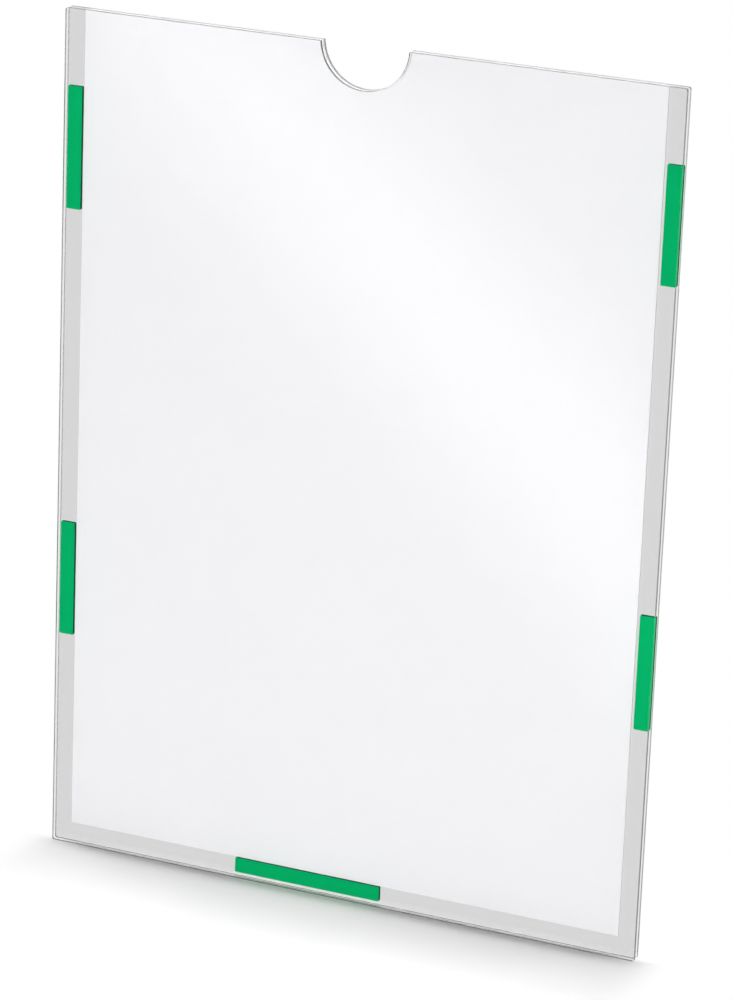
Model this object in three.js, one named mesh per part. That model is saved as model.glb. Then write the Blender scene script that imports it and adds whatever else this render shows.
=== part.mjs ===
// Clear acrylic sign holder for one upright A4 sheet.
// Two clear sheets are held a small gap apart by five pads of double-sided foam tape, and the sign slides
// into the gap from the top. A round thumb notch in the top edge lets two fingers reach the sign.
// Millimetres. X is the width, Y runs from the front to the back, Z is up.
// The origin is at the middle of the bottom edge, halfway through the thickness.

import * as THREE from 'three';

// Sign
const signWidth = 210;
const signHeight = 297;
const signThickness = 0.3;
const signSideClearance = 0.3;
const signTopSetback = 0.2;

// Clear sheets
const sheetThickness = 1.5;
const sheetCornerRadius = 0.8;

// Foam tape pads. An inset is the bare strip of sheet between a pad and the sheet's edge.
const padThickness = 1.3;
const padWidth = 5.4;
const padCornerRadius = 0.4;
const leftPadInset = 1.1;
const rightPadInset = 0.1;
const bottomPadInset = 2.0;
const leftUpperPad = { length: 43.2, belowTopEdge: 26.9 };
const rightUpperPad = { length: 40.6, belowTopEdge: 25.5 };
const leftLowerPad = { length: 41.8, aboveBottomEdge: 79.2 };
const rightLowerPad = { length: 40.7, aboveBottomEdge: 83.9 };
const bottomPadLength = 55.6;
const bottomPadMiddle = -11.6;

// Thumb notch
const notchRadius = 16;
const notchCentreAboveEdge = 0.9;
const notchMiddle = -1;
const notchClearanceOnSign = 0.3;

// Facets of the round parts of an outline
const notchSegments = 48;
const cornerSegments = 4;

// Sizes that follow from the ones above
const sideBorder = signSideClearance + padWidth + leftPadInset;
const bottomBorder = padWidth + bottomPadInset;
const holderWidth = signWidth + 2 * sideBorder;
const holderHeight = bottomBorder + signHeight + signTopSetback;
const holderThickness = 2 * sheetThickness + padThickness;
const frontFaceY = -holderThickness / 2;
const gapFrontY = frontFaceY + sheetThickness;
const gapBackY = gapFrontY + padThickness;
const notchCentreZ = holderHeight + notchCentreAboveEdge;

function clearAcrylic() {
  return new THREE.MeshStandardMaterial({
    name: 'clear_acrylic', color: 0xe9efee, roughness: 0.05, metalness: 0, transparent: true, opacity: 0.35,
  });
}

function whiteCard() {
  return new THREE.MeshStandardMaterial({ name: 'white_card', color: 0xf3f3f5, roughness: 0.8, metalness: 0 });
}

function greenFoamTape() {
  return new THREE.MeshStandardMaterial({
    name: 'green_foam_tape', color: 0x05ad66, roughness: 0.6, metalness: 0,
  });
}

// A rounded rectangle seen from the front, with x to the right and z up. Where a notch is given, its round
// bite is taken from the top edge. The outline runs anticlockwise from the lower left corner.
function plateOutline({ left, right, bottom, top, cornerRadius, notch }) {
  const outline = new THREE.Shape();
  outline.moveTo(left + cornerRadius, bottom);
  outline.lineTo(right - cornerRadius, bottom);
  outline.absarc(right - cornerRadius, bottom + cornerRadius, cornerRadius, -Math.PI / 2, 0, false);
  outline.lineTo(right, top - cornerRadius);
  outline.absarc(right - cornerRadius, top - cornerRadius, cornerRadius, 0, Math.PI / 2, false);
  if (notch) {
    // The circle's centre lies above the edge, so the bite is a little less than a half turn.
    const startAngle = -Math.asin((notch.z - top) / notch.radius);
    const turn = -Math.PI - 2 * startAngle;
    for (let i = 0; i <= notchSegments; i += 1) {
      const angle = startAngle + turn * (i / notchSegments);
      outline.lineTo(notch.x + notch.radius * Math.cos(angle), notch.z + notch.radius * Math.sin(angle));
    }
  }
  outline.lineTo(left + cornerRadius, top);
  outline.absarc(left + cornerRadius, top - cornerRadius, cornerRadius, Math.PI / 2, Math.PI, false);
  outline.lineTo(left, bottom + cornerRadius);
  outline.absarc(left + cornerRadius, bottom + cornerRadius, cornerRadius, Math.PI, 1.5 * Math.PI, false);
  return outline;
}

// A flat upright plate with that outline, from frontY to frontY + thickness.
function plate(name, outline, frontY, thickness, material) {
  const geometry = new THREE.ExtrudeGeometry(plateOutline(outline), {
    depth: thickness, bevelEnabled: false, curveSegments: cornerSegments,
  });
  geometry.rotateX(Math.PI / 2);
  geometry.translate(0, thickness, 0);
  const mesh = new THREE.Mesh(geometry, material);
  mesh.name = name;
  mesh.position.y = frontY;
  return mesh;
}

// The front and the back sheet are the same cut sheet, with polished edges and slightly eased corners.
function clearSheet(name, frontY) {
  const outline = {
    left: -holderWidth / 2,
    right: holderWidth / 2,
    bottom: 0,
    top: holderHeight,
    cornerRadius: sheetCornerRadius,
    notch: { x: notchMiddle, z: notchCentreZ, radius: notchRadius },
  };
  return plate(name, outline, frontY, sheetThickness, clearAcrylic());
}

// The white sign lies against the back sheet and stands on the bottom pad.
function signSheet() {
  const outline = {
    left: -signWidth / 2,
    right: signWidth / 2,
    bottom: bottomBorder,
    top: bottomBorder + signHeight,
    cornerRadius: 0,
    notch: { x: notchMiddle, z: notchCentreZ, radius: notchRadius + notchClearanceOnSign },
  };
  return plate('sign_sheet', outline, gapBackY - signThickness, signThickness, whiteCard());
}

// A pad fills the gap between the sheets, so that it sticks to both.
function tapePad(name, left, bottom, width, height) {
  const outline = { left, right: left + width, bottom, top: bottom + height, cornerRadius: padCornerRadius };
  return plate(name, outline, gapFrontY, padThickness, greenFoamTape());
}

const leftPadLeft = -holderWidth / 2 + leftPadInset;
const rightPadLeft = holderWidth / 2 - rightPadInset - padWidth;
const bottomPadLeft = bottomPadMiddle - bottomPadLength / 2;

function upperPad(name, left, pad) {
  return tapePad(name, left, holderHeight - pad.belowTopEdge - pad.length, padWidth, pad.length);
}

function lowerPad(name, left, pad) {
  return tapePad(name, left, pad.aboveBottomEdge, padWidth, pad.length);
}

const signHolder = new THREE.Group();
signHolder.add(clearSheet('front_sheet', frontFaceY));
signHolder.add(clearSheet('back_sheet', gapBackY));
signHolder.add(signSheet());
signHolder.add(upperPad('tape_pad_left_upper', leftPadLeft, leftUpperPad));
signHolder.add(lowerPad('tape_pad_left_lower', leftPadLeft, leftLowerPad));
signHolder.add(upperPad('tape_pad_right_upper', rightPadLeft, rightUpperPad));
signHolder.add(lowerPad('tape_pad_right_lower', rightPadLeft, rightLowerPad));
signHolder.add(tapePad('tape_pad_bottom', bottomPadLeft, bottomPadInset, bottomPadLength, padWidth));

export default signHolder;
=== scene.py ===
import math

import bmesh
import bpy
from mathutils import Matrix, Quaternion, Vector


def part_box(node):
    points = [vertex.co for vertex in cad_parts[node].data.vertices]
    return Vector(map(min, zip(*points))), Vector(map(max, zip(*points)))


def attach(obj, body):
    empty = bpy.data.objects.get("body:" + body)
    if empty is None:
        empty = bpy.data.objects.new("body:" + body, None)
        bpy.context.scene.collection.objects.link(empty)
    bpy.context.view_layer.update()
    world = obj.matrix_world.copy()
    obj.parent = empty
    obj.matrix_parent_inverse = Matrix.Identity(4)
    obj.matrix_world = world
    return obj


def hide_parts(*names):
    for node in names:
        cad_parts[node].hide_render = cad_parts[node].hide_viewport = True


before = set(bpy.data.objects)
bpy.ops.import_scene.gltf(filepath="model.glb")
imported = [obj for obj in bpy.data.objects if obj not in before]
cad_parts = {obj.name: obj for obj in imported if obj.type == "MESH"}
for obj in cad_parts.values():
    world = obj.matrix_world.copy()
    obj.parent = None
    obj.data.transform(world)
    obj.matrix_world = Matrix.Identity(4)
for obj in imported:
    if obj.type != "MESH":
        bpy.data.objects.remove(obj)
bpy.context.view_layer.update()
MM = 0.001


# Clear sheets
# The front and the back sheet are cut from one cast acrylic sheet, 1.5 mm thick, with a round thumb notch
# sawn in the top edge. The sawn edges are satin, with slightly eased corners, and the faces are glossy.
ACRYLIC_TINT = "F2F2F2"
BOND_LINE = 0.01 * MM
EDGE_EASING = 0.12 * MM
EASING_STEPS = 2
SAWN_CORNER = math.radians(60)
LARGEST_SMOOTH_FACE = 60 * MM * MM
ACRYLIC_IOR = 1.49
HAZE_PATCH = 25 * MM
FACE_ROUGHNESS = (0.005, 0.03)
SATIN_ROUGHNESS = 0.6
# The matt grey and the two scatter amounts below are painted shade on the sawn edges: mixed into the top and
# bottom edges, and more into the notch.
EDGE_SHADE_GREY = "8C8C8C"
EDGE_GREY_ROUGHNESS = 0.8
LAMP_LIGHT_TINT = "FAFAFA"
EDGE_FACING = 0.3
UPRIGHT_EDGE_FACING = 0.98
EDGE_SCATTER_AND_SHADE = 0.4
NOTCH_SCATTER_AND_SHADE = 0.8
NOTCH_CENTRE = Vector((-1, 0, 305.5)) * MM
NOTCH_REACH = 17 * MM


def linear(hex_colour):
    """An sRGB hex colour as linear red, green, blue and full alpha."""
    parts = [int(hex_colour[i:i + 2], 16) / 255 for i in (0, 2, 4)]
    return [c / 12.92 if c <= 0.04045 else ((c + 0.055) / 1.055) ** 2.4 for c in parts] + [1.0]


def node(tree, kind, settings=None, **inputs):
    """Adds a node with its settings. An input is a value, or an output socket to link."""
    made = tree.nodes.new(kind)
    for name, value in (settings or {}).items():
        setattr(made, name, value)
    for name, value in inputs.items():
        socket = made.inputs[int(name[1:])] if name[1:].isdigit() else made.inputs[name.replace("_", " ")]
        if isinstance(value, bpy.types.NodeSocket):
            tree.links.new(value, socket)
        else:
            socket.default_value = value
    return made


def new_material(name):
    """An empty node material and its output node."""
    material = bpy.data.materials.new(name)
    material.use_nodes = True
    material.node_tree.nodes.clear()
    return material, node(material.node_tree, "ShaderNodeOutputMaterial")


def cast_acrylic():
    """Cast acrylic: glossy clear faces with a faint haze, satin sawn edges, and a painted shade grey in some
    edges.
    """
    material, output = new_material("cast_acrylic_clear")
    tree = material.node_tree
    place = node(tree, "ShaderNodeTexCoord").outputs["Object"]
    haze = node(tree, "ShaderNodeTexNoise", Vector=place, Scale=1 / HAZE_PATCH, Detail=1.0)
    gloss = node(
        tree, "ShaderNodeMapRange",
        Value=haze.outputs["Fac"], To_Min=FACE_ROUGHNESS[0], To_Max=FACE_ROUGHNESS[1],
    )
    facing = node(tree, "ShaderNodeSeparateXYZ", _0=node(tree, "ShaderNodeNewGeometry").outputs["True Normal"])
    flat = node(tree, "ShaderNodeMath", {"operation": "ABSOLUTE"}, _0=facing.outputs["Y"])
    sawn = node(tree, "ShaderNodeMath", {"operation": "LESS_THAN"}, _0=flat.outputs[0], _1=EDGE_FACING)
    roughness = node(
        tree, "ShaderNodeMix", _0=sawn.outputs[0], _2=gloss.outputs["Result"], _3=SATIN_ROUGHNESS,
    )
    clear = node(
        tree, "ShaderNodeBsdfPrincipled",
        Base_Color=linear(ACRYLIC_TINT), Transmission_Weight=1.0, IOR=ACRYLIC_IOR,
        Roughness=roughness.outputs[0],
    )
    # Painted shade: the top and bottom edges take a matt grey that the upright edges lack, and the notch takes
    # more of it, set by each edge's direction and place; the satin roughness of all sawn edges is real.
    sideways = node(tree, "ShaderNodeMath", {"operation": "ABSOLUTE"}, _0=facing.outputs["X"])
    level = node(
        tree, "ShaderNodeMath", {"operation": "LESS_THAN"}, _0=sideways.outputs[0], _1=UPRIGHT_EDGE_FACING,
    )
    from_notch = node(tree, "ShaderNodeVectorMath", {"operation": "DISTANCE"}, _0=place, _1=NOTCH_CENTRE)
    notch = node(
        tree, "ShaderNodeMath", {"operation": "LESS_THAN"}, _0=from_notch.outputs["Value"], _1=NOTCH_REACH,
    )
    scatter = node(tree, "ShaderNodeMix", _0=notch.outputs[0], _2=EDGE_SCATTER_AND_SHADE, _3=NOTCH_SCATTER_AND_SHADE)
    marked = node(tree, "ShaderNodeMath", {"operation": "MAXIMUM"}, _0=level.outputs[0], _1=notch.outputs[0])
    painted_edge_shade = node(tree, "ShaderNodeMath", {"operation": "MULTIPLY"}, _0=sawn.outputs[0], _1=marked.outputs[0])
    cloud = node(tree, "ShaderNodeMath", {"operation": "MULTIPLY"}, _0=painted_edge_shade.outputs[0], _1=scatter.outputs[0])
    matt = node(tree, "ShaderNodeBsdfPrincipled", Base_Color=linear(EDGE_SHADE_GREY), Roughness=EDGE_GREY_ROUGHNESS)
    body = node(
        tree, "ShaderNodeMixShader", _0=cloud.outputs[0], _1=clear.outputs["BSDF"], _2=matt.outputs["BSDF"],
    )
    # Light from the lamps passes through each face and lights the sign, as it does through real acrylic.
    light = node(tree, "ShaderNodeBsdfTransparent", Color=linear(LAMP_LIGHT_TINT))
    path = node(tree, "ShaderNodeLightPath")
    both = node(
        tree, "ShaderNodeMixShader",
        _0=path.outputs["Is Shadow Ray"], _1=body.outputs["Shader"], _2=light.outputs["BSDF"],
    )
    tree.links.new(both.outputs["Shader"], output.inputs["Surface"])
    return material


def eased_copy(name, source):
    """A copy of a solid as one merged mesh, with its sharp edges slightly eased."""
    shape = bmesh.new()
    shape.from_mesh(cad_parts[source].data)
    bmesh.ops.remove_doubles(shape, verts=shape.verts, dist=0.001 * MM)
    bmesh.ops.dissolve_limit(shape, angle_limit=math.radians(0.5), verts=shape.verts, edges=shape.edges)
    low, high = (Vector(corner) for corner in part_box(source))
    inner = [v for v in shape.verts if abs(v.co.y) < abs(low.y + high.y) / 2]
    bmesh.ops.translate(shape, vec=(0, -math.copysign(BOND_LINE, low.y), 0), verts=inner)
    sawn = [e for e in shape.edges if e.is_manifold and e.calc_face_angle() > SAWN_CORNER]
    bmesh.ops.bevel(
        shape, geom=sawn, offset=EDGE_EASING, offset_type="OFFSET", segments=EASING_STEPS,
        profile=0.5, affect="EDGES", material=-1, clamp_overlap=True,
    )
    for face in shape.faces:
        face.smooth = face.calc_area() < LARGEST_SMOOTH_FACE
    mesh = bpy.data.meshes.new(name)
    shape.to_mesh(mesh)
    shape.free()
    piece = bpy.data.objects.new(name, mesh)
    bpy.context.scene.collection.objects.link(piece)
    return piece


acrylic = cast_acrylic()
for source in ("back_sheet", "front_sheet"):
    sheet = eased_copy(source + "_polished", source)
    sheet.data.materials.append(acrylic)
    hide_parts(source)
    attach(sheet, "root")


# Tape pads
# Five lengths of green double-sided foam tape stick the two sheets together and keep them apart. Where the
# tape wets the acrylic it is bright green, and its cut foam sides are matt and painted dark green as shade.
TAPE_FACE = "01A15D"
TAPE_FACE_PALE = "06A866"
TAPE_SIDE_SHADE = "00502F"
FOAM_CELL = 0.5 * MM
TAPE_PADS = [name for name in sorted(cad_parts) if name.startswith("tape_pad")]


def foam_tape():
    """Green acrylic foam tape, knife cut: a smooth wetted face, and sides of fine open cells painted dark as
    shade.
    """
    material, output = new_material("green_foam_tape_cut")
    tree = material.node_tree
    place = node(tree, "ShaderNodeTexCoord").outputs["Object"]
    cells = node(tree, "ShaderNodeTexNoise", Vector=place, Scale=1 / FOAM_CELL, Detail=3.0)
    face = node(
        tree, "ShaderNodeMix", {"data_type": "RGBA"},
        _0=cells.outputs["Fac"], _6=linear(TAPE_FACE), _7=linear(TAPE_FACE_PALE),
    )
    facing = node(tree, "ShaderNodeSeparateXYZ", _0=node(tree, "ShaderNodeNewGeometry").outputs["Normal"])
    flat = node(tree, "ShaderNodeMath", {"operation": "ABSOLUTE"}, _0=facing.outputs["Y"])
    wetted = node(tree, "ShaderNodeMath", {"operation": "GREATER_THAN"}, _0=flat.outputs[0], _1=0.5)
    # Painted shade: the faces that do not face the sheets take the dark side green.
    colour = node(
        tree, "ShaderNodeMix", {"data_type": "RGBA"},
        _0=wetted.outputs[0], _6=linear(TAPE_SIDE_SHADE), _7=face.outputs[2],
    )
    bump = node(tree, "ShaderNodeBump", Height=cells.outputs["Fac"], Distance=0.03 * MM, Strength=0.4)
    body = node(
        tree, "ShaderNodeBsdfPrincipled",
        Base_Color=colour.outputs[2], Roughness=0.55, Normal=bump.outputs["Normal"], Specular_IOR_Level=0.05,
    )
    tree.links.new(body.outputs["BSDF"], output.inputs["Surface"])
    return material


tape = foam_tape()
for name in TAPE_PADS:
    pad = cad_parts[name]
    pad.data.materials.clear()
    pad.data.materials.append(tape)


# Sign
# An upright A4 sheet of smooth white card, cut with the same thumb notch. It stands on the bottom pad and
# lies against the back sheet.
CARD_WHITE = "F7F7F9"
CARD_SHADE = "F3F3F5"
FIBRE_CLOUD = 6 * MM
FIBRE = 0.35 * MM


def smooth_card():
    """Bleached white card, calendered: even and matt, with faint clouds of fibre."""
    material, output = new_material("white_card_smooth")
    tree = material.node_tree
    place = node(tree, "ShaderNodeTexCoord").outputs["Object"]
    cloud = node(tree, "ShaderNodeTexNoise", Vector=place, Scale=1 / FIBRE_CLOUD, Detail=5.0)
    fibre = node(tree, "ShaderNodeTexNoise", Vector=place, Scale=1 / FIBRE, Detail=2.0)
    colour = node(
        tree, "ShaderNodeMix", {"data_type": "RGBA"},
        _0=cloud.outputs["Fac"], _6=linear(CARD_WHITE), _7=linear(CARD_SHADE),
    )
    bump = node(tree, "ShaderNodeBump", Height=fibre.outputs["Fac"], Distance=0.01 * MM, Strength=0.3)
    body = node(
        tree, "ShaderNodeBsdfPrincipled",
        Base_Color=colour.outputs[2], Roughness=0.75, Normal=bump.outputs["Normal"],
    )
    tree.links.new(body.outputs["BSDF"], output.inputs["Surface"])
    return material


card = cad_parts["sign_sheet"]
card.data.materials.clear()
card.data.materials.append(smooth_card())


# Floor and backdrop
# A pale matt table that runs back to a white backdrop. In front of the holder the table takes its shadow,
# and behind it and further out it is as white as the backdrop.
FLOOR_SIZE = 8.0
FLOOR_DROP = 0.05 * MM
TABLE_WHITE = "F8F8F8"
TABLE_WHITE_PALE = "FAFAFA"
TABLE_GRAIN = 2 * MM
LIT_RADIUS = 0.16
WHITE_RADIUS = 0.42
WHITE_BEHIND = 0.008
WHITE_BESIDE = (0.108, 0.125)
AMBIENT = 0.04


def ray_kinds(tree):
    """Two sockets: 1 for what is seen directly or through a clear piece, and 1 for what a surface mirrors."""
    path = node(tree, "ShaderNodeLightPath").outputs
    direct = node(
        tree, "ShaderNodeMath", {"operation": "MAXIMUM"},
        _0=path["Is Camera Ray"], _1=path["Is Transmission Ray"],
    )
    # A ray that leaves a clear sheet counts as transmitted, also where it was scattered or mirrored before.
    scattered = node(tree, "ShaderNodeMath", {"operation": "GREATER_THAN"}, _0=path["Diffuse Depth"], _1=0.5)
    glossy = node(tree, "ShaderNodeMath", {"operation": "GREATER_THAN"}, _0=path["Glossy Depth"], _1=0.5)
    mirrored = node(
        tree, "ShaderNodeMath", {"operation": "SUBTRACT", "use_clamp": True},
        _0=glossy.outputs[0], _1=scattered.outputs[0],
    )
    bounced = node(
        tree, "ShaderNodeMath", {"operation": "MAXIMUM"}, _0=scattered.outputs[0], _1=mirrored.outputs[0],
    )
    seen = node(
        tree, "ShaderNodeMath", {"operation": "SUBTRACT", "use_clamp": True},
        _0=direct.outputs[0], _1=bounced.outputs[0],
    )
    return seen.outputs[0], mirrored.outputs[0]


def white_table():
    """Matt white laminate, lit near the holder and plain white away from it."""
    material, output = new_material("white_table_matt")
    tree = material.node_tree
    place = node(tree, "ShaderNodeTexCoord").outputs["Object"]
    grain = node(tree, "ShaderNodeTexNoise", Vector=place, Scale=1 / TABLE_GRAIN, Detail=2.0)
    colour = node(
        tree, "ShaderNodeMix", {"data_type": "RGBA"},
        _0=grain.outputs["Fac"], _6=linear(TABLE_WHITE), _7=linear(TABLE_WHITE_PALE),
    )
    lit = node(
        tree, "ShaderNodeBsdfPrincipled",
        Base_Color=colour.outputs[2], Roughness=0.9,
    )
    white = node(tree, "ShaderNodeEmission", Color=linear("FFFFFF"), Strength=1.0)
    distance = node(tree, "ShaderNodeVectorMath", {"operation": "LENGTH"}, _0=place)
    outer = node(
        tree, "ShaderNodeMapRange", {"interpolation_type": "SMOOTHSTEP"},
        Value=distance.outputs["Value"], From_Min=LIT_RADIUS, From_Max=WHITE_RADIUS,
    )
    depth = node(tree, "ShaderNodeSeparateXYZ", _0=place)
    behind = node(
        tree, "ShaderNodeMapRange", {"interpolation_type": "SMOOTHSTEP"},
        Value=depth.outputs["Y"], From_Min=0.0, From_Max=WHITE_BEHIND,
    )
    sideways = node(tree, "ShaderNodeMath", {"operation": "ABSOLUTE"}, _0=depth.outputs["X"])
    beside = node(
        tree, "ShaderNodeMapRange", {"interpolation_type": "SMOOTHSTEP"},
        Value=sideways.outputs[0], From_Min=WHITE_BESIDE[0], From_Max=WHITE_BESIDE[1],
    )
    around = node(
        tree, "ShaderNodeMath", {"operation": "MAXIMUM"},
        _0=beside.outputs["Result"], _1=behind.outputs["Result"],
    )
    plain = node(
        tree, "ShaderNodeMath", {"operation": "MAXIMUM"}, _0=outer.outputs["Result"], _1=around.outputs[0],
    )
    seen, mirrored = ray_kinds(tree)
    shown = node(tree, "ShaderNodeMath", {"operation": "MULTIPLY"}, _0=plain.outputs[0], _1=seen)
    both = node(
        tree, "ShaderNodeMixShader", _0=shown.outputs[0], _1=lit.outputs["BSDF"], _2=white.outputs["Emission"],
    )
    # In the sheets' reflections the table is white behind the holder and dark in front, like the room.
    reflected = node(tree, "ShaderNodeEmission", Color=linear("FFFFFF"), Strength=behind.outputs["Result"])
    table = node(
        tree, "ShaderNodeMixShader", _0=mirrored, _1=both.outputs["Shader"], _2=reflected.outputs["Emission"],
    )
    tree.links.new(table.outputs["Shader"], output.inputs["Surface"])
    return material


def flat_panel(name, width, length):
    """A flat rectangle in the XY plane, with its middle at the origin and facing up."""
    shape = bmesh.new()
    bmesh.ops.create_grid(shape, x_segments=1, y_segments=1, size=0.5)
    bmesh.ops.scale(shape, vec=(width, length, 1), verts=shape.verts)
    mesh = bpy.data.meshes.new(name)
    shape.to_mesh(mesh)
    shape.free()
    panel = bpy.data.objects.new(name, mesh)
    bpy.context.scene.collection.objects.link(panel)
    return panel


floor = flat_panel("floor", FLOOR_SIZE, FLOOR_SIZE)
floor.location.z = -FLOOR_DROP
floor.visible_glossy = False
floor.data.materials.append(white_table())

world = bpy.data.worlds.new("white_backdrop")
bpy.context.scene.world = world
world.use_nodes = True
tree = world.node_tree
tree.nodes.clear()
seen, mirrored = ray_kinds(tree)
direction = node(tree, "ShaderNodeSeparateXYZ", _0=node(tree, "ShaderNodeTexCoord").outputs["Generated"])
room = node(
    tree, "ShaderNodeMapRange", {"interpolation_type": "SMOOTHSTEP"},
    Value=direction.outputs["Y"], From_Min=-0.05, From_Max=0.05,
)
lighting = node(tree, "ShaderNodeMix", _0=seen, _2=AMBIENT, _3=1.0)
strength = node(tree, "ShaderNodeMix", _0=mirrored, _2=lighting.outputs[0], _3=room.outputs["Result"])
sky = node(tree, "ShaderNodeBackground", Color=linear("FFFFFF"), Strength=strength.outputs[0])
node(tree, "ShaderNodeOutputWorld", Surface=sky.outputs["Background"])


# Studio lamps
# A small softbox in front lights the sign, through a gobo that makes the slanted bright band on it. Two
# softboxes above throw the short soft shadow in front of the bottom edge, and one behind lights the back.
def softbox(name, place, target, width, height, power):
    """A rectangular area lamp that faces a point."""
    lamp = bpy.data.lights.new(name, "AREA")
    lamp.shape = "RECTANGLE"
    lamp.size = width
    lamp.size_y = height
    lamp.energy = power
    box = bpy.data.objects.new(name, lamp)
    box.location = place
    box.rotation_euler = (Vector(target) - Vector(place)).to_track_quat("-Z", "Y").to_euler()
    box.visible_camera = False
    box.visible_glossy = False
    box.visible_transmission = False
    bpy.context.scene.collection.objects.link(box)


FRONT_LAMP = Vector((0.1, -2.0, 0.25))
SIGN_MIDDLE = (0, 0, 0.15)
# Each softbox: its place, the point that it faces, its width, its height and its power.
SOFTBOXES = {
    "front_softbox": (FRONT_LAMP, SIGN_MIDDLE, 0.2, 0.2, 44.8),
    "back_softbox": ((0.1, 2.0, 0.16), SIGN_MIDDLE, 0.2, 0.2, 20),
    "top_near_softbox": ((-0.06, 0.019, 1.5), (-0.06, 0.019, 0), 0.9, 0.034, 10.6),
    "top_far_softbox": ((-0.06, 0.13, 1.5), (-0.06, 0.13, 0), 0.9, 0.18, 11.5),
}
for name, settings in SOFTBOXES.items():
    softbox(name, *settings)

# The two ends of the bright band on the sign, and how far it fades to each side.
BAND_START = Vector((-50.9, 0, 293.5)) * MM
BAND_END = Vector((104.1, 0, 150.3)) * MM
BAND_FADE = 62 * MM
BAND_SURROUND = 0.88
GOBO_NEARNESS = 0.8
GOBO_SIZE = 0.8


def band_gobo():
    """A panel in front of the front lamp that dims its light a little, except along the band."""
    gobo = flat_panel("band_gobo", GOBO_SIZE, GOBO_SIZE)
    start = FRONT_LAMP.lerp(BAND_START, GOBO_NEARNESS)
    end = FRONT_LAMP.lerp(BAND_END, GOBO_NEARNESS)
    along = end - start
    gobo.location = (start + end) / 2
    gobo.rotation_euler = (math.pi / 2, math.atan2(-along.z, along.x), 0)
    material, output = new_material("gobo_gel")
    tree = material.node_tree
    place = node(tree, "ShaderNodeSeparateXYZ", _0=node(tree, "ShaderNodeTexCoord").outputs["Object"])
    off_line = node(tree, "ShaderNodeMath", {"operation": "ABSOLUTE"}, _0=place.outputs["Y"])
    clearness = node(
        tree, "ShaderNodeMapRange", {"interpolation_type": "SMOOTHSTEP"},
        Value=off_line.outputs[0], From_Max=BAND_FADE * GOBO_NEARNESS, To_Min=1.0, To_Max=BAND_SURROUND,
    )
    gel = node(tree, "ShaderNodeBsdfTransparent", Color=clearness.outputs["Result"])
    tree.links.new(gel.outputs["BSDF"], output.inputs["Surface"])
    gobo.data.materials.append(material)
    gobo.visible_camera = False
    gobo.visible_diffuse = False
    gobo.visible_glossy = False
    gobo.visible_transmission = False


band_gobo()


# Camera
# Long lens, from the right of the holder and a little above it, and turned slightly about its own axis.
VIEW_AZIMUTH = math.radians(23.07)
VIEW_ELEVATION = math.radians(18.28)
VIEW_ROLL = math.radians(2.25)
VIEW_DISTANCE = 1489.3 * MM
VIEW_TARGET = Vector((5.86, -2.15, 148.5)) * MM
LENS = 157.8

forward = Vector((
    -math.sin(VIEW_AZIMUTH) * math.cos(VIEW_ELEVATION),
    math.cos(VIEW_AZIMUTH) * math.cos(VIEW_ELEVATION),
    -math.sin(VIEW_ELEVATION),
))
camera = bpy.data.objects.new("camera", bpy.data.cameras.new("camera"))
camera.data.lens = LENS
camera.data.clip_start = 0.05
camera.location = VIEW_TARGET - VIEW_DISTANCE * forward
camera.rotation_mode = "QUATERNION"
camera.rotation_quaternion = forward.to_track_quat("-Z", "Y") @ Quaternion((0, 0, 1), VIEW_ROLL)
bpy.context.scene.collection.objects.link(camera)
bpy.context.scene.camera = camera
bpy.context.scene.view_settings.view_transform = "Standard"
